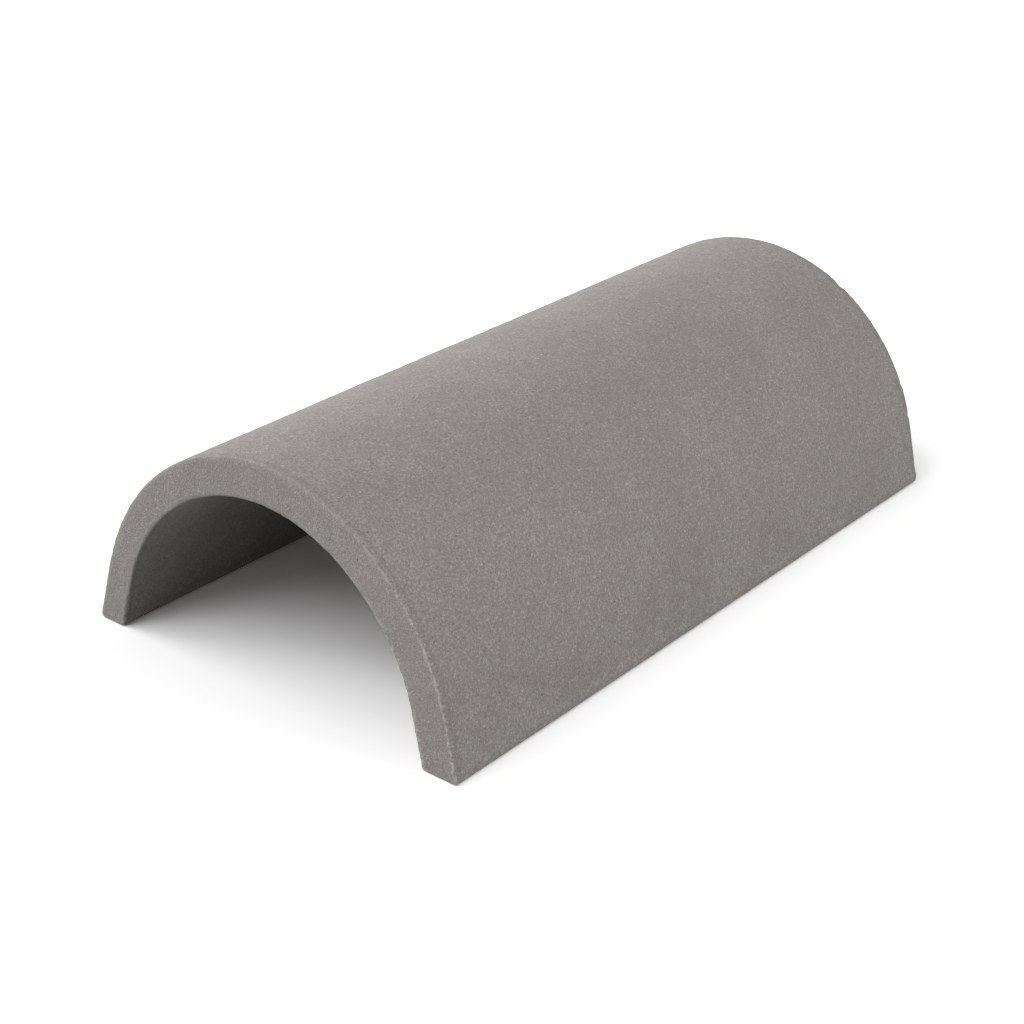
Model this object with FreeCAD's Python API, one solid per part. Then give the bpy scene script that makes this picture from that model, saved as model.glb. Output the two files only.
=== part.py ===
import FreeCAD
import Part
import os

# Half-round concrete ridge tile, plain butt-jointed pattern. One cast piece: a
# half-elliptical arch, open at both ends and underneath, whose walls run out straight
# to two feet with a small lip along the outside. The core stood a little off centre
# in the mould, so one side's wall is thinner than the other's.
# Frame: +X runs along the ridge, +Y across it, +Z up. The origin is on the floor
# plane, midway along and across the tile. Millimetres.

Vec = FreeCAD.Vector

# Overall sizes
length = 450.0  # end face to end face
arch_width = 239.0  # outer ellipse, where it would meet the floor plane
rise = 128.0  # floor plane to the top of the crown

# Wall
side_wall = 19.5  # between the two ellipses at the floor plane, with a centred core
crown_wall = 22.0  # at the crown
core_offset = 2.5  # how far the inner arch stands towards +Y
outer_straight_top = 34.0  # below this the outside runs down straight, along the ellipse's tangent
inner_straight_top = 27.0  # the same for the inside

# Foot
lip_reach = 1.0  # how far the lip stands out from the wall
lip_nose = 5.0  # height of the lip's upright nose
lip_ramp = 2.0  # height above the nose over which the lip runs out into the wall
lip_round = 2.0  # lip's upper edge, and the hollow above it
foot_round = 2.2  # both edges on the floor

# End faces
end_arris = 1.0  # rounding of both end faces' edges

outer_half = arch_width / 2
inner_half = outer_half - side_wall
inner_rise = rise - crown_wall
lip_top = lip_nose + lip_ramp


def wall_y(half_width, height, straight_top, z):
    """Distance from the middle of the wall's straight lower part, at height z."""
    share = (1 - (straight_top / height) ** 2) ** 0.5
    lean = half_width / height**2 * straight_top / share
    return half_width * share + lean * (straight_top - z)


def arch_edge(half_width, height, straight_top, middle_y=0.0):
    """The elliptical part of a wall, over the crown from straight_top to straight_top."""
    crown = Vec(0, middle_y, height)
    side = Vec(0, middle_y + half_width, 0)
    centre = Vec(0, middle_y, 0)
    tall = height > half_width
    ellipse = Part.Ellipse(crown, side, centre) if tall else Part.Ellipse(side, crown, centre)
    start_y = wall_y(half_width, height, straight_top, straight_top)
    ends = [ellipse.parameter(Vec(0, middle_y + y, straight_top)) for y in (-start_y, start_y)]
    edge = Part.ArcOfEllipse(ellipse, *ends).toShape()
    if edge.CenterOfMass.z < straight_top:
        edge = Part.ArcOfEllipse(ellipse, *reversed(ends)).toShape()
    return edge


outer_start_y = wall_y(outer_half, rise, outer_straight_top, outer_straight_top)
inner_start_y = wall_y(inner_half, inner_rise, inner_straight_top, inner_straight_top)
inner_foot_y = wall_y(inner_half, inner_rise, inner_straight_top, 0)
above_lip_y = wall_y(outer_half, rise, outer_straight_top, lip_top)
lip_y = above_lip_y + lip_reach


def section_face(at_x):
    """The tile's cross-section with sharp corners, as a face in the plane X = at_x."""
    edges = [
        arch_edge(outer_half, rise, outer_straight_top),
        arch_edge(inner_half, inner_rise, inner_straight_top, core_offset),
    ]
    for side in (-1, 1):
        corners = [
            Vec(0, side * outer_start_y, outer_straight_top),
            Vec(0, side * above_lip_y, lip_top),
            Vec(0, side * lip_y, lip_nose),
            Vec(0, side * lip_y, 0),
            Vec(0, core_offset + side * inner_foot_y, 0),
            Vec(0, core_offset + side * inner_start_y, inner_straight_top),
        ]
        edges += [Part.LineSegment(a, b).toShape() for a, b in zip(corners, corners[1:])]
    wire = Part.Wire(Part.__sortEdges__(edges))
    wire.translate(Vec(at_x, 0, 0))
    return Part.Face(wire)


def long_edges(solid, ys, z):
    """The tile's full-length straight edges at height z and at any of the given y."""

    def lies_there(edge):
        middle = edge.CenterOfMass
        near = min(abs(middle.y - y) for y in ys) < 0.01 and abs(middle.z - z) < 0.01
        return near and abs(edge.Length - length) < 0.01

    return [edge for edge in solid.Edges if lies_there(edge)]


def round_feet(solid):
    """Rounds the lip and both edges on the floor, all along the tile."""
    for ys, z, radius in (
        ((-above_lip_y, above_lip_y), lip_top, lip_round),
        ((-lip_y, lip_y), lip_nose, lip_round),
        ((-lip_y, lip_y), 0, foot_round),
        ((core_offset - inner_foot_y, core_offset + inner_foot_y), 0, foot_round),
    ):
        solid = solid.makeFillet(radius, long_edges(solid, ys, z))
    return solid


def round_ends(solid):
    """Rounds the arris all round both end faces."""
    ends = [f for f in solid.Faces if abs(abs(f.CenterOfMass.x) - length / 2) < 0.01]
    return solid.makeFillet(end_arris, [edge for face in ends for edge in face.Edges])


def ridge_tile():
    blank = section_face(-length / 2).extrude(Vec(length, 0, 0))
    return round_ends(round_feet(blank))


parts = {"ridge_tile": ridge_tile()}

os.makedirs("parts", exist_ok=True)
for name, shape in parts.items():
    shape.exportStep(f"parts/{name}.step")
    print(name, "valid", shape.isValid(), "volume_l", round(shape.Volume / 1e6, 4))
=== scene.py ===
import math
import bpy
import numpy as np
from mathutils import Matrix, Vector


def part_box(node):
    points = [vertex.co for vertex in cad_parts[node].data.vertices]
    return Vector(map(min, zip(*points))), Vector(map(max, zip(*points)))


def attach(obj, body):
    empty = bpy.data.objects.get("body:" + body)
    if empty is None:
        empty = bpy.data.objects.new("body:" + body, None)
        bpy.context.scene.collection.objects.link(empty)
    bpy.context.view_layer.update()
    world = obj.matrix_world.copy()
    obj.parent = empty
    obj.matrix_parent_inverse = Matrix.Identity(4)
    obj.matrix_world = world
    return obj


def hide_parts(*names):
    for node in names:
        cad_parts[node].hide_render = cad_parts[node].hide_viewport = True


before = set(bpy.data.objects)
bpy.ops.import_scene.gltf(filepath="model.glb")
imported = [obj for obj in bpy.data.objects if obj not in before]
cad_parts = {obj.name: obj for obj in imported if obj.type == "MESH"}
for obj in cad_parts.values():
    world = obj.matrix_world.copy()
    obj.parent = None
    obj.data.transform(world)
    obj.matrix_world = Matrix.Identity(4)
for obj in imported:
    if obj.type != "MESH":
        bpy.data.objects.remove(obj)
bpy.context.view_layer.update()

# A half-round ridge tile in cast grey concrete, on a white studio floor.
# Everything is in metres. A value whose name ends in Mm is in millimetres: * mm makes it metres.
mm = 0.001
tileLow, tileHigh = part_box("ridge_tile")
scene = bpy.context.scene
print("frame loaded, tile is", [round(side / mm, 1) for side in tileHigh - tileLow], "mm")


def linearColour(hexColour):
    # sRGB to linear: v / 12.92 up to 0.04045, and above it ((v + 0.055) / 1.055) to the power 2.4
    values = [int(hexColour[i:i + 2], 16) / 255 for i in (1, 3, 5)]
    return [v / 12.92 if v <= 0.04045 else ((v + 0.055) / 1.055) ** 2.4 for v in values] + [1.0]


def addNode(tree, kind, settings=None, inputs=None):
    # one node, with its settings; each input is given either a value or the socket that feeds it
    node = tree.nodes.new(kind)
    for name, value in (settings or {}).items():
        setattr(node, name, value)
    for name, source in (inputs or {}).items():
        if isinstance(source, bpy.types.NodeSocket):
            tree.links.new(source, node.inputs[name])
        else:
            node.inputs[name].default_value = source
    return node


def smoothNoise(points, cell, seed):
    # random heights from -1 to 1 on a cubic lattice, blended between its 8 corners by 3t^2 - 2t^3
    size, shift = 64, 7.3  # lattice points a side before it repeats, and what moves it off the origin
    heights = np.random.default_rng(seed).uniform(-1, 1, (size, size, size))
    place = points / cell + shift
    corner = np.floor(place).astype(int)
    t = place - corner
    t = t * t * (3 - 2 * t)
    total = np.zeros(points.shape[:-1])
    for step in np.ndindex(2, 2, 2):
        weight = np.prod(np.where(step, t, 1 - t), axis=-1)
        i, j, k = np.moveaxis((corner + step) % size, -1, 0)
        total += weight * heights[i, j, k]
    return total


# The tile's section, as the mould makes it, and how finely it is drawn.
section = {
    "archHalfMm": 119.5,
    "sideWallMm": 19.5,
    "crownWallMm": 22.0,
    "coreOffsetMm": 2.5,  # the core stood this far off centre, towards +Y
    "outerStraightMm": 34.0,  # below this the wall runs down straight
    "innerStraightMm": 27.0,
    "lipReachMm": 1.0,
    "lipTopMm": 7.0,
    "lipNoseMm": 5.0,
    "lipEaseMm": 0.6,  # how far past both ends of its slope the lip's easing reaches
    "footRoundMm": 2.2,
    "innerFootTurn": 1.4,  # radians of the inner foot's rounding that get points of their own
    "halfPoints": 119,
    "basePoints": 12,
    "footPoints": 14,
    "straightSamples": 400,
    "archSamples": 700,
    "footFineness": 3.2,  # how many times closer the points stand at the foot than over the arch
    "footZoneMm": 12.0,
}


def spaced(curve, count, fineness, zone):
    # walks the curve so that its points stand closer at the start:
    # their density at s along it is 1 + (fineness - 1) e^-(s/zone)^2
    along = np.concatenate([[0], np.cumsum(np.hypot(*np.diff(curve, axis=0).T))])
    density = 1 + (fineness - 1) * np.exp(-((along / zone) ** 2))
    counted = np.concatenate([[0], np.cumsum((density[1:] + density[:-1]) / 2 * np.diff(along))])
    s = np.interp(np.linspace(0, counted[-1], count), counted, along)
    return np.column_stack([np.interp(s, along, curve[:, k]) for k in (0, 1)])


def wallHalf(half, rise, straightTop, foot):
    # a straight wall, tangent to a quarter ellipse at straightTop, then the ellipse up to the crown:
    # y = half x sqrt(1 - (z/rise)^2) above, and its tangent line below
    turn = np.linspace(math.asin(straightTop / rise), np.pi / 2, section["archSamples"])[1:]
    straight = np.linspace(foot, straightTop, section["straightSamples"])
    z = np.concatenate([straight, rise * np.sin(turn)])
    share = math.sqrt(1 - (straightTop / rise) ** 2)
    lean = half / rise**2 * straightTop / share
    ellipse = half * np.sqrt(np.clip(1 - (z / rise) ** 2, 0, 1))
    tangent = half * share + lean * (straightTop - z)
    return np.column_stack([np.where(z > straightTop, ellipse, tangent), z])


def outerHalf():
    # the wall, plus a lip that eases out by 3t^2 - 2t^3 and then runs down to a quarter circle
    half, straightTop, reach, top, nose, ease, r = (
        section[name] * mm for name in ("archHalfMm", "outerStraightMm", "lipReachMm",
                                        "lipTopMm", "lipNoseMm", "lipEaseMm", "footRoundMm"))
    wall = wallHalf(half, tileHigh.z, straightTop, r)
    aboveLip = np.interp(top, wall[:, 1], wall[:, 0])
    lipY = aboveLip + reach
    t = np.clip((top + ease - wall[:, 1]) / (top - nose + 2 * ease), 0, 1)
    t = t * t * (3 - 2 * t)
    wall[:, 0] = wall[:, 0] * (1 - t) + lipY * t
    turn = np.linspace(-np.pi / 2, 0, section["footPoints"])[:-1]
    footArc = np.column_stack([lipY - r + r * np.cos(turn), r + r * np.sin(turn)])
    return np.vstack([footArc, wall])


def innerHalf():
    # the wall, with its corner on the floor cut back by r (1 - sqrt(1 - (1 - z/r)^2))
    half = (section["archHalfMm"] - section["sideWallMm"]) * mm
    straightTop, r = section["innerStraightMm"] * mm, section["footRoundMm"] * mm
    wall = wallHalf(half, tileHigh.z - section["crownWallMm"] * mm, straightTop, 0.0)
    low = r * (1 - np.cos(np.linspace(0, section["innerFootTurn"], section["footPoints"])))
    foot = np.column_stack([np.interp(low, wall[:, 1], wall[:, 0]), low])
    wall = np.vstack([foot, wall[wall[:, 1] > low[-1]]])
    up = np.clip(1 - wall[:, 1] / r, 0, 1)
    wall[:, 0] = wall[:, 0] + r * (1 - np.sqrt(1 - up**2))
    return wall


def sectionLoop():
    # outer arch from -Y to +Y, the +Y base, the inner arch back and the -Y base, as one closed loop
    zone = section["footZoneMm"] * mm
    arches = []
    for half in (outerHalf(), innerHalf()):
        half = spaced(half, section["halfPoints"], section["footFineness"], zone)
        arches.append(np.vstack([half * [-1, 1], half[-2::-1]]))
    outer, inner = arches[0], arches[1] + [section["coreOffsetMm"] * mm, 0]
    share = np.linspace(0, 1, section["basePoints"] + 2)[1:-1, None]
    basePlus = outer[-1] + share * (inner[-1] - outer[-1])
    baseMinus = inner[0] + share * (outer[0] - inner[0])
    return np.vstack([outer, basePlus, inner[::-1], baseMinus])


# Wear and relief of the cast tile, and how finely it is drawn along its length.
casting = {
    "endSides": (-1, 1),
    "endSeeds": (11, 51),
    "endWear": (1.0, 0.45),  # the -X end is the more worn
    "arrisRoundMm": 1.0,
    "arrisLeastMm": 0.35,
    "arrisMostMm": 2.0,
    "arrisFootMm": 0.55,  # both of those at the floor, where the foot's own rounding leaves no room
    "arrisFootZoneMm": 8.0,
    "arrisBandMm": 0.3,  # a point nearer than this to the arris's middle lies on it
    "arrisWaveMm": ((14.0, 0.30), (3.5, 0.34), (1.3, 0.22)),  # cell and height of its waves
    "nicksPerEnd": 36,
    "nickLengthMm": (0.5, 1.4),
    "nickDepthMm": (0.15, 1.1),
    "chipsPerEnd": 3,
    "chipReachMm": (1.2, 2.6),
    "chipDepthMm": (0.3, 0.8),
    "chipShape": (1.0, 0.8, 0.8),  # a chip is a little longer across the tile than along it
    "chipAboveMm": 12.0,
    "chipSeed": 16,
    "reliefMm": ((80.0, 0.30), (21.0, 0.12), (7.0, 0.07), (3.0, 0.06)),  # cell and height of waves
    "reliefSeed": 111,
    "reliefFadeMm": 3.0,  # the relief fades out over this much above the floor, where the feet are flat
    "insideFadeMm": 6.0,
    "arcRings": 5,
    "bodyRings": 175,
    "ringSamples": 2000,
    "endFineness": 3.6,
    "endZoneMm": 26.0,
}


def arrisRadii(loop, seed, wear):
    # rounding radius at each point of the loop: a mean, three sizes of wave, and for each nick
    # depth x e^-(distance/length)^2, of which the largest counts
    rng = np.random.default_rng(seed)
    place = np.column_stack([loop, np.zeros(len(loop))])
    radius = np.full(len(loop), casting["arrisRoundMm"] * wear)
    for k, (cell, height) in enumerate(casting["arrisWaveMm"]):
        radius += wear * height * smoothNoise(place, cell * mm, seed + 1 + k)
    nicks, (shallow, deep) = casting["nicksPerEnd"], casting["nickDepthMm"]
    at = rng.integers(0, len(loop), nicks)
    length = rng.uniform(*casting["nickLengthMm"], nicks)
    depth = shallow + wear * rng.uniform(0, 1, nicks) ** 2 * (deep - shallow)
    gap = np.linalg.norm(loop[None] - loop[at][:, None], axis=2) / mm
    radius += (depth[:, None] * np.exp(-((gap / length[:, None]) ** 2))).max(0)
    least, most = (
        np.interp(loop[:, 1] / mm, [0, casting["arrisFootZoneMm"]], [casting["arrisFootMm"], limit])
        for limit in (casting["arrisLeastMm"], casting["arrisMostMm"]))
    return np.clip(radius, least, most) * mm


def loopNormals(loop):
    # the loop's tangent, from its neighbours on both sides, turned by a right angle
    tangent = np.roll(loop, -1, axis=0) - np.roll(loop, 1, axis=0)
    normal = np.column_stack([-tangent[:, 1], tangent[:, 0]])
    return normal / np.linalg.norm(normal, axis=1, keepdims=True)


def ringShares():
    # stations from one end to the other, closer together at both ends: their density is
    # 1 + (fineness - 1) e^-(distance to the nearer end/zone)^2
    x = np.linspace(0, tileHigh.x - tileLow.x, casting["ringSamples"])
    zone = casting["endZoneMm"] * mm
    nearest = np.minimum(x, x[-1] - x)
    density = 1 + (casting["endFineness"] - 1) * np.exp(-((nearest / zone) ** 2))
    counted = np.concatenate([[0], np.cumsum((density[1:] + density[:-1]) / 2)])
    wanted = np.linspace(0, counted[-1], casting["bodyRings"] + 2)[1:-1]
    return np.interp(wanted, counted, x) / x[-1]


def endGrid(loopCount, archCount):
    # an end face's grid of loop places: the outer arch, rows across the wall, then the inner arch.
    # -1 marks the places between them, which have points of their own
    base = section["basePoints"]
    grid = np.full((base + 2, archCount), -1)
    grid[0] = np.arange(archCount)
    grid[-1] = np.arange(2 * archCount + base - 1, archCount + base - 1, -1)
    grid[1:-1, -1] = np.arange(archCount, archCount + base)
    grid[1:-1, 0] = np.arange(loopCount - 1, loopCount - 1 - base, -1)
    return grid


def quads(grid):
    # one four-sided face for each cell of a grid of vertex numbers
    corners = [grid[:-1, :-1], grid[1:, :-1], grid[1:, 1:], grid[:-1, 1:]]
    return np.stack(corners, axis=-1).reshape(-1, 4)


def castTile():
    # the section loop is carried along X, drawn in round each end by a quarter circle of the local
    # radius, and closed by an end face ruled from the outer arch to the inner one.
    # It returns each point, its normal, its distance to the nearer arris (negative on the end faces)
    # and how far it lies on the core side, and the faces
    loop = sectionLoop()
    outward = loopNormals(loop)
    base = section["basePoints"]
    archCount = 2 * section["halfPoints"] - 1
    count, half = len(loop), tileHigh.x
    radii = {side: arrisRadii(loop, seed, wear) for side, seed, wear in
             zip(casting["endSides"], casting["endSeeds"], casting["endWear"])}
    turn = np.linspace(0, np.pi / 2, casting["arcRings"])[:, None]

    def endRings(side):
        r = radii[side][None]
        inset = r * (1 - np.cos(turn))
        yz = loop[None] - inset[..., None] * outward[None]
        x = side * (half - r * (1 - np.sin(turn)))
        normal = np.concatenate([np.broadcast_to(side * np.sin(turn), x.shape)[..., None],
                                 np.cos(turn)[..., None] * outward[None]], axis=2)
        edge = r * (np.pi / 4 - turn)
        return np.concatenate([x[..., None], yz], axis=2), normal, edge

    first, firstNormal, firstEdge = (part[::-1] for part in endRings(-1))
    last, lastNormal, lastEdge = endRings(1)
    share = ringShares()[:, None]
    startX, stopX = first[-1, :, 0], last[0, :, 0]
    x = startX + share * (stopX - startX)
    across = (len(share), count, 2)
    body = np.concatenate([x[..., None], np.broadcast_to(loop, across)], axis=2)
    bodyNormal = np.concatenate([np.zeros(x.shape + (1,)), np.broadcast_to(outward, across)], axis=2)
    bodyEdge = np.minimum(x - startX + firstEdge[-1], stopX - x + lastEdge[0])
    places = np.concatenate([first, body, last])
    normals = np.concatenate([firstNormal, bodyNormal, lastNormal])
    edges = np.concatenate([firstEdge, bodyEdge, lastEdge])
    rings = np.arange(places.shape[0] * count).reshape(-1, count)
    faces = [quads(np.hstack([rings, rings[:, :1]]))]

    points, directions = [places.reshape(-1, 3)], [normals.reshape(-1, 3)]
    distances = [edges.ravel()]
    total = len(points[0])
    for side, ring in zip(casting["endSides"], (0, len(places) - 1)):
        grid = endGrid(count, archCount)
        rim = places[ring]
        outerRim, innerRim = rim[grid[0, 1:-1]], rim[grid[-1, 1:-1]]
        across = np.linspace(0, 1, section["basePoints"] + 2)[1:-1, None, None]
        between = outerRim + across * (innerRim - outerRim)
        thickness = np.linalg.norm(innerRim - outerRim, axis=1)
        wall = thickness[None] * np.minimum(across, 1 - across)[..., 0]
        numbers = np.where(grid >= 0, ring * count + grid, -1)
        numbers[1:-1, 1:-1] = total + np.arange(wall.size).reshape(wall.shape)
        total += wall.size
        points.append(between.reshape(-1, 3))
        directions.append(np.tile([side, 0.0, 0.0], (wall.size, 1)))
        distances.append(-(wall + casting["arrisRoundMm"] * mm * np.pi / 4).ravel())
        faces.append(quads(numbers)[:, ::side])
    points, directions = np.vstack(points), np.vstack(directions)
    loopInside = np.zeros(count)  # 1 along the inner arch, with a short fade at its feet
    inner = np.arange(archCount + base, 2 * archCount + base)
    loopInside[inner] = np.clip(loop[inner, 1] / (casting["insideFadeMm"] * mm), 0, 1)
    inside = np.zeros(len(points))
    inside[:places.shape[0] * count] = np.tile(loopInside, places.shape[0])
    return points, directions, np.concatenate(distances), inside, np.vstack(faces)


def roughen(points, directions, distances):
    # waves of the skin along the normals, and scoops at the end edges: each pulls the points near it
    # towards the inside of the wall by depth x e^-(distance/reach)^2
    above = np.clip(points[:, 2] / (casting["reliefFadeMm"] * mm), 0, 1)
    for k, (cell, height) in enumerate(casting["reliefMm"]):
        wave = above * smoothNoise(points, cell * mm, casting["reliefSeed"] + k)
        points = points + (height * mm * wave)[:, None] * directions
    rng = np.random.default_rng(casting["chipSeed"])
    onArris = np.abs(distances) < casting["arrisBandMm"] * mm
    edgePoints = np.flatnonzero(onArris & (points[:, 2] > casting["chipAboveMm"] * mm))
    for at in rng.choice(edgePoints, 2 * casting["chipsPerEnd"], replace=False):
        reach = rng.uniform(*casting["chipReachMm"]) * mm
        depth = rng.uniform(*casting["chipDepthMm"]) * mm
        gap = np.linalg.norm((points - points[at]) * casting["chipShape"], axis=1)
        points = points - (depth * np.exp(-((gap / reach) ** 2)))[:, None] * directions[at]
    points[:, 2] = np.maximum(points[:, 2], 0)
    return points


def meshPiece(name, points, faces, attributes):
    # a smooth-shaded mesh, with a value on each point for each attribute
    mesh = bpy.data.meshes.new(name)
    mesh.from_pydata(points.tolist(), [], faces.tolist())
    for attributeName, values in attributes.items():
        layer = mesh.attributes.new(attributeName, "FLOAT", "POINT")
        layer.data.foreach_set("value", values.astype(np.float32))
    mesh.polygons.foreach_set("use_smooth", np.ones(len(faces), dtype=bool))
    mesh.update()
    piece = bpy.data.objects.new(name, mesh)
    scene.collection.objects.link(piece)
    return piece


# Dry-cast concrete, cement and washed sand pressed in a steel mould: a dead matt, faintly warm
# grey, peppered all over with pale and dark sand, with soft clouds where the mix was wetter. There
# is a darker band beside each end, and the arris is rubbed pale, with painted highlight making it
# paler low on the -Y side, where it catches the light.
concrete = {
    "darkHex": "#4A4644",
    "midHex": "#948F8C",
    "lightHex": "#DEDAD7",
    "patterns": (  # size in mm, detail, weight in the tone
        (75.0, 2.0, 0.09),
        (20.0, 3.0, 0.07),
        (4.5, 2.0, 0.12),
        (1.7, 2.0, 0.25),  # fine sand is 0.1 to 0.5 mm, drawn coarser here and below so that it shows
        (0.9, 2.0, 0.62),
    ),
    "patternRoughness": 0.55,
    "marks": {  # cell in mm, colour channel that picks the cells and its limit, radius in cells
        "quartz": {"cellMm": 2.6, "channel": 0, "pick": "GREATER_THAN", "limit": 0.88,
                   "radius": 0.24, "weight": 0.38, "hex": "#D2CDC8"},
        "darkStone": {"cellMm": 2.6, "channel": 0, "pick": "LESS_THAN", "limit": 0.10,
                      "radius": 0.24, "weight": 0.34, "hex": "#4A4643"},
        "airHole": {"cellMm": 19.0, "channel": 1, "pick": "GREATER_THAN", "limit": 0.6,
                    "radius": 0.035, "weight": 0.50, "hex": "#4A4643"},
    },
    "bandMm": 4.5,
    "bandShade": 0.10,
    "rubbedAndHighlightHex": "#CBC6C1",
    "rubbedMm": 1.6,
    "rubbedInwardMm": 1.0,  # the pale line lies this far onto the end face
    "rubbedShakeMm": 9.0,  # how strongly the sand's own noise makes that line ragged
    "rubbedReach": 3.6,  # where its fade begins, in rubbedMm from its middle, before the noise
    "rubbedAndHighlightShare": (0.12, 0.50),  # at the crown, and low on the -Y side, where the rise is painted highlight
    "highlightFullAt": 0.85,  # of the half width, from where the painted highlight is strongest
    "reliefMm": 0.45,
    "reliefShares": {"sand": 0.8, "paste": 0.6, "quartz": 0.25, "airHole": -1.5},
    "paintedInsideShade": 0.74,  # painted shade: the core side is darker, standing in for the dim light inside the arch
    # painted shade: the end faces are darker, to offset the light the lamps throw on them
    "paintedEndShade": 0.90,
    "roughness": 0.92,
    "ior": 1.5,
    "specular": 0.35,
}


def castConcrete():
    material = bpy.data.materials.new("castConcrete")
    material.use_nodes = True
    tree = material.node_tree
    tree.nodes.clear()
    here = addNode(tree, "ShaderNodeTexCoord").outputs["Object"]

    # tone: 0.5 plus each noise's swing about its middle times its weight
    noises = [addNode(tree, "ShaderNodeTexNoise", None,
                      {"Vector": here, "Scale": 1 / (size * mm), "Detail": detail,
                       "Roughness": concrete["patternRoughness"]}).outputs[0]
              for size, detail, _ in concrete["patterns"]]
    weights = [weight for _, _, weight in concrete["patterns"]]
    tone = 0.5 - 0.5 * sum(weights)
    for noise, weight in zip(noises, weights):
        tone = addNode(tree, "ShaderNodeMath", {"operation": "MULTIPLY_ADD"},
                       {0: noise, 1: weight, 2: tone}).outputs[0]
    ramp = addNode(tree, "ShaderNodeValToRGB", None, {"Fac": tone})
    ramp.color_ramp.elements[0].color = linearColour(concrete["darkHex"])
    ramp.color_ramp.elements[1].color = linearColour(concrete["lightHex"])
    ramp.color_ramp.elements.new(0.5).color = linearColour(concrete["midHex"])
    colour = ramp.outputs["Color"]

    # single grains of quartz and of dark stone, and air holes: each sits in some cells of a Voronoi
    # pattern. The cell's random colour picks which, and the distance from its middle cuts it round
    marks = {}
    for name, mark in concrete["marks"].items():
        cells = addNode(tree, "ShaderNodeTexVoronoi", None,
                        {"Vector": here, "Scale": 1 / (mark["cellMm"] * mm)})
        kind = addNode(tree, "ShaderNodeSeparateColor", None, {"Color": cells.outputs["Color"]})
        picked = addNode(tree, "ShaderNodeMath", {"operation": mark["pick"]},
                         {0: kind.outputs[mark["channel"]], 1: mark["limit"]}).outputs[0]
        within = addNode(tree, "ShaderNodeMath", {"operation": "LESS_THAN"},
                         {0: cells.outputs["Distance"], 1: mark["radius"]}).outputs[0]
        marks[name] = addNode(tree, "ShaderNodeMath", {"operation": "MULTIPLY"},
                              {0: picked, 1: within}).outputs[0]
        weight = addNode(tree, "ShaderNodeMath", {"operation": "MULTIPLY"},
                         {0: marks[name], 1: mark["weight"]}).outputs[0]
        colour = addNode(tree, "ShaderNodeMix", {"data_type": "RGBA"},
                         {0: weight, 6: colour, 7: linearColour(mark["hex"])}).outputs[2]

    # shade: the stains and the painted shade of the core side and the end faces, less the band
    # beside each end, which is a bump of 1 - (2 d / band - 1)^2
    edge = addNode(tree, "ShaderNodeAttribute", {"attribute_name": "edgeDistance"}).outputs["Fac"]
    acrossBand = addNode(tree, "ShaderNodeMath", {"operation": "MULTIPLY_ADD"},
                         {0: edge, 1: 2 / (concrete["bandMm"] * mm), 2: -1.0}).outputs[0]
    squared = addNode(tree, "ShaderNodeMath", {"operation": "MULTIPLY"},
                      {0: acrossBand, 1: acrossBand}).outputs[0]
    band = addNode(tree, "ShaderNodeMath", {"operation": "SUBTRACT", "use_clamp": True},
                   {0: 1.0, 1: squared}).outputs[0]
    stainsAndShade = addNode(tree, "ShaderNodeAttribute", {"attribute_name": "stainsAndShade"}).outputs["Fac"]
    shade = addNode(tree, "ShaderNodeMath", {"operation": "MULTIPLY_ADD"},
                    {0: band, 1: -concrete["bandShade"], 2: stainsAndShade}).outputs[0]
    colour = addNode(tree, "ShaderNodeMix", {"data_type": "RGBA", "blend_type": "MULTIPLY"},
                     {0: 1.0, 6: colour, 7: shade}).outputs[2]

    # rubbed arris with painted highlight: the distance from its middle, shaken by the sand's noise,
    # fades into a pale and ragged line, whose weight rises as painted highlight low on the -Y side
    paste, sand, fineSand = noises[-3:]
    inward = addNode(tree, "ShaderNodeMath", {"operation": "ADD"},
                     {0: edge, 1: concrete["rubbedInwardMm"] * mm}).outputs[0]
    away = addNode(tree, "ShaderNodeMath", {"operation": "ABSOLUTE"}, {0: inward}).outputs[0]
    shaken = addNode(tree, "ShaderNodeMath", {"operation": "MULTIPLY_ADD"},
                     {0: sand, 1: concrete["rubbedShakeMm"] * mm, 2: away}).outputs[0]
    paleArrisLine = addNode(tree, "ShaderNodeMath", {"operation": "MULTIPLY_ADD", "use_clamp": True},
                     {0: shaken, 1: -1 / (concrete["rubbedMm"] * mm),
                      2: concrete["rubbedReach"]}).outputs[0]
    share = addNode(tree, "ShaderNodeAttribute", {"attribute_name": "rubbedAndHighlightShare"}).outputs["Fac"]
    weight = addNode(tree, "ShaderNodeMath", {"operation": "MULTIPLY"},
                     {0: paleArrisLine, 1: share}).outputs[0]
    colour = addNode(tree, "ShaderNodeMix", {"data_type": "RGBA"},
                     {0: weight, 6: colour, 7: linearColour(concrete["rubbedAndHighlightHex"])}).outputs[2]

    # relief: the fine sand, plus shares of the coarser sand, the paste, the quartz, which stands
    # proud, and the air holes, which are sunk
    height = fineSand
    sources = {"sand": sand, "paste": paste, "quartz": marks["quartz"], "airHole": marks["airHole"]}
    for name, share in concrete["reliefShares"].items():
        height = addNode(tree, "ShaderNodeMath", {"operation": "MULTIPLY_ADD"},
                         {0: sources[name], 1: share, 2: height}).outputs[0]
    bump = addNode(tree, "ShaderNodeBump", None,
                   {"Strength": 1.0, "Distance": concrete["reliefMm"] * mm, "Height": height})
    surface = addNode(tree, "ShaderNodeBsdfPrincipled", None,
                      {"Base Color": colour, "Normal": bump.outputs["Normal"],
                       "Roughness": concrete["roughness"], "IOR": concrete["ior"],
                       "Specular IOR Level": concrete["specular"]})
    addNode(tree, "ShaderNodeOutputMaterial", None, {"Surface": surface.outputs[0]})
    return material


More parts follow.
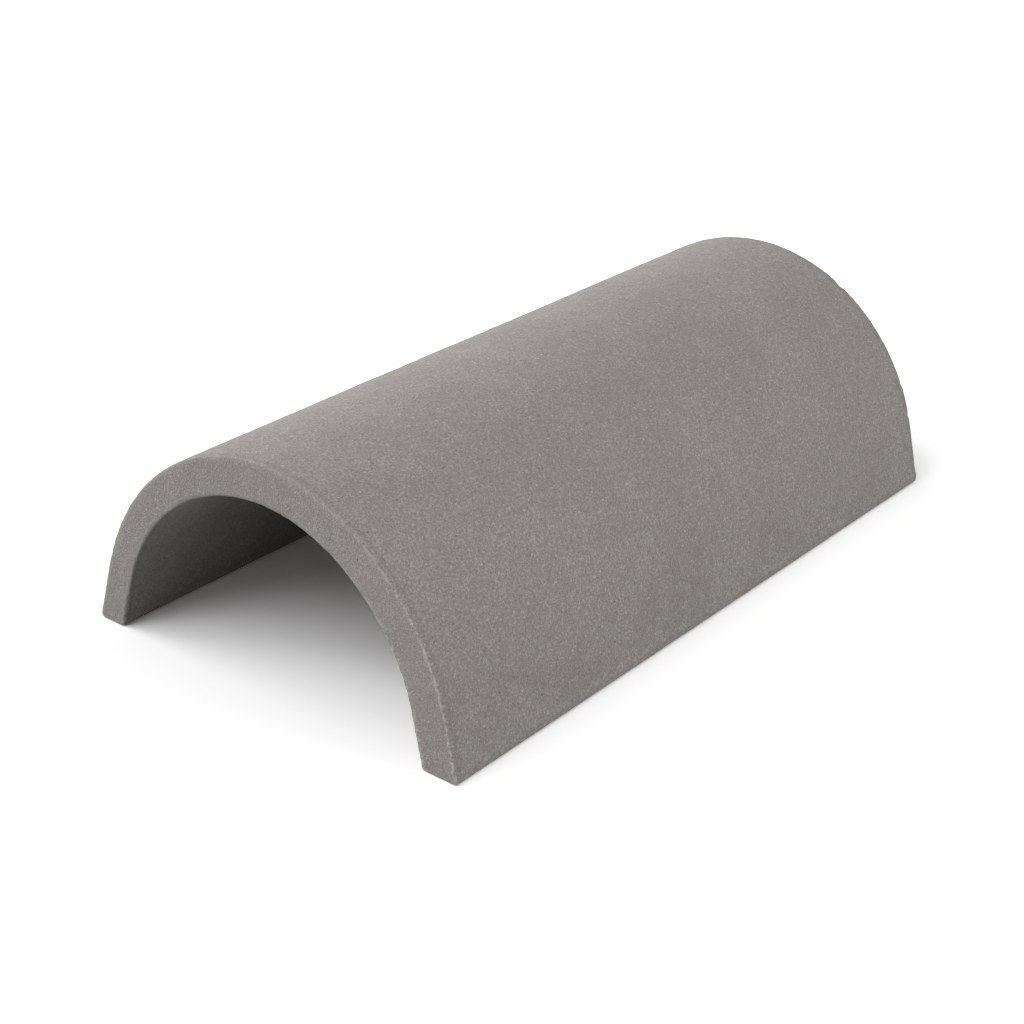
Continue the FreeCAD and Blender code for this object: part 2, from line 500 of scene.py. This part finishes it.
# Where the casting is stained or marked: place on the tile and radius, both in mm, and shade.
stains = {
    "paleFleck": ((170.6, -98.3, 73.2), 1.6, 0.25),
    "darkFleck": ((216.4, -117.6, 25.5), 2.0, -0.22),
    "darkMarkLeft": ((-36.5, -29.5, 123.6), 2.4, -0.07),
    "darkMarkMiddle": ((-35.0, -38.0, 120.9), 2.4, -0.08),
    "darkMarkRight": ((-33.7, -44.5, 118.4), 2.4, -0.07),
    "farBlotch": ((108.7, -66.2, 106.4), 9.0, -0.04),
    "nearBlotch": ((-32.6, -108.7, 54.0), 8.0, -0.04),
}


def stainsAndPaintedShade(points, inside, distances):
    # 1 outside and less on the core side and the end faces, which is painted shade, plus
    # shade x e^-(distance/radius)^2 for each stain
    shade = 1 - inside * (1 - concrete["paintedInsideShade"])
    onEnd = distances < -casting["arrisBandMm"] * mm
    shade = shade * np.where(onEnd, concrete["paintedEndShade"], 1.0)
    for place, radius, depth in stains.values():
        gap = np.linalg.norm(points - np.array(place) * mm, axis=1)
        shade = shade + depth * np.exp(-((gap / (radius * mm)) ** 2))
    return shade


points, directions, distances, inside, faces = castTile()
points = roughen(points, directions, distances)
# the pale arris line's weight: wear at the crown, and more low on the -Y side as painted highlight
rubbedAndHighlightShare = np.interp(-points[:, 1] / tileHigh.y, [0, concrete["highlightFullAt"]],
                        concrete["rubbedAndHighlightShare"])
ridgeTile = meshPiece("ridgeTileCast", points, faces,
                      {"edgeDistance": distances, "stainsAndShade": stainsAndPaintedShade(points, inside, distances),
                       "rubbedAndHighlightShare": rubbedAndHighlightShare})
ridgeTile.data.materials.append(castConcrete())
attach(ridgeTile, "root")
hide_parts("ridge_tile")
print("tile cast,", len(points), "points and", len(faces), "faces")

# A white floor and three broad softboxes, with a pale sky that fills the shadows. Each softbox has
# its degrees from straight up, its degrees round from +X towards +Y, and its part of the light that
# falls on the floor.
studio = {
    "floorSize": 40.0,
    "floorHex": "#D0D0D0",
    "shownFloor": 1.42,
    "softboxAngle": 40.0,
    "softboxes": {"leftSoftbox": (44.0, 162.0, 0.225), "rightSoftbox": (54.0, 306.0, 0.262),
                  "backSoftbox": (75.0, 105.0, 0.245)},
    "skyShare": 0.265,
    "skyLean": 0.35,  # the sky is this share brighter towards -X and darker towards +X
}


def seenDirectly(tree):
    # 1 on camera, mirror and see-through rays, 0 on the rays that carry light to the tile
    path = addNode(tree, "ShaderNodeLightPath")
    either = addNode(tree, "ShaderNodeMath", {"operation": "MAXIMUM"},
                     {0: path.outputs["Is Camera Ray"], 1: path.outputs["Is Glossy Ray"]})
    return addNode(tree, "ShaderNodeMath", {"operation": "MAXIMUM"},
                   {0: either.outputs[0], 1: path.outputs["Is Transmission Ray"]}).outputs[0]


def studioFloor():
    # one flat square, grey to the light that it bounces and brighter to the eye
    reach = studio["floorSize"] / 2
    corners = reach * np.array([(-1, -1, 0), (1, -1, 0), (1, 1, 0), (-1, 1, 0)])
    floor = meshPiece("studioFloor", corners, np.array([[0, 1, 2, 3]]), {})
    material = bpy.data.materials.new("whitePaperFloor")
    material.use_nodes = True
    tree = material.node_tree
    tree.nodes.clear()
    bounced = addNode(tree, "ShaderNodeBsdfDiffuse", None, {"Color": linearColour(studio["floorHex"])})
    shown = addNode(tree, "ShaderNodeBsdfDiffuse", None, {"Color": [studio["shownFloor"]] * 3 + [1.0]})
    either = addNode(tree, "ShaderNodeMixShader",
                     None, {0: seenDirectly(tree), 1: bounced.outputs[0], 2: shown.outputs[0]})
    addNode(tree, "ShaderNodeOutputMaterial", None, {"Surface": either.outputs[0]})
    floor.data.materials.append(material)


def studioLight():
    # a lamp's strength is its share of pi, over the cosine of its slant
    for name, (slant, around, share) in studio["softboxes"].items():
        slant, around = math.radians(slant), math.radians(around)
        towards = Vector((math.sin(slant) * math.cos(around), math.sin(slant) * math.sin(around),
                          math.cos(slant)))
        lamp = bpy.data.lights.new(name, "SUN")
        lamp.energy = share * math.pi / math.cos(slant)
        lamp.angle = math.radians(studio["softboxAngle"])
        softbox = bpy.data.objects.new(name, lamp)
        softbox.rotation_mode = "QUATERNION"
        softbox.rotation_quaternion = towards.to_track_quat("Z", "Y")
        scene.collection.objects.link(softbox)
    world = bpy.data.worlds.new("paleSky")
    world.use_nodes = True
    scene.world = world
    tree = world.node_tree
    tree.nodes.clear()
    towards = addNode(tree, "ShaderNodeTexCoord").outputs["Generated"]
    alongX = addNode(tree, "ShaderNodeSeparateXYZ", None, {"Vector": towards}).outputs["X"]
    strength = addNode(tree, "ShaderNodeMath", {"operation": "MULTIPLY_ADD"},
                       {0: alongX, 1: -studio["skyShare"] * studio["skyLean"],
                        2: studio["skyShare"]}).outputs[0]
    fill = addNode(tree, "ShaderNodeBackground", None,
                   {"Color": [1, 1, 1, 1], "Strength": strength})
    white = addNode(tree, "ShaderNodeBackground", None, {"Color": [1, 1, 1, 1], "Strength": 1.0})
    either = addNode(tree, "ShaderNodeMixShader",
                     None, {0: seenDirectly(tree), 1: fill.outputs[0], 2: white.outputs[0]})
    addNode(tree, "ShaderNodeOutputWorld", None, {"Surface": either.outputs[0]})


# The camera looks down on the tile from beyond its -X end, 37 degrees round from the ridge line.
view = {
    "azimuth": -52.904,
    "elevation": 26.392,
    "roll": 2.345,
    "distance": 0.893291,
    "aim": (-0.227918, -0.15087, 0.155246),
    "lens": 73.1685,
}


def studioCamera():
    # back, from the aim to the camera, is (sin a cos e, -cos a cos e, sin e), and roll turns the
    # camera about it
    a, e, roll = (math.radians(view[name]) for name in ("azimuth", "elevation", "roll"))
    back = Vector((math.sin(a) * math.cos(e), -math.cos(a) * math.cos(e), math.sin(e)))
    right = Vector((math.cos(a), math.sin(a), 0))
    up = back.cross(right)
    tiltedRight = math.cos(roll) * right + math.sin(roll) * up
    tiltedUp = math.cos(roll) * up - math.sin(roll) * right
    data = bpy.data.cameras.new("studioCamera")
    data.lens = view["lens"]
    camera = bpy.data.objects.new("studioCamera", data)
    turned = Matrix((tiltedRight, tiltedUp, back)).transposed().to_4x4()
    camera.matrix_world = Matrix.Translation(Vector(view["aim"]) + back * view["distance"]) @ turned
    scene.collection.objects.link(camera)
    scene.camera = camera


studioFloor()
studioLight()
studioCamera()
scene.view_settings.view_transform = "Standard"
print("studio set")
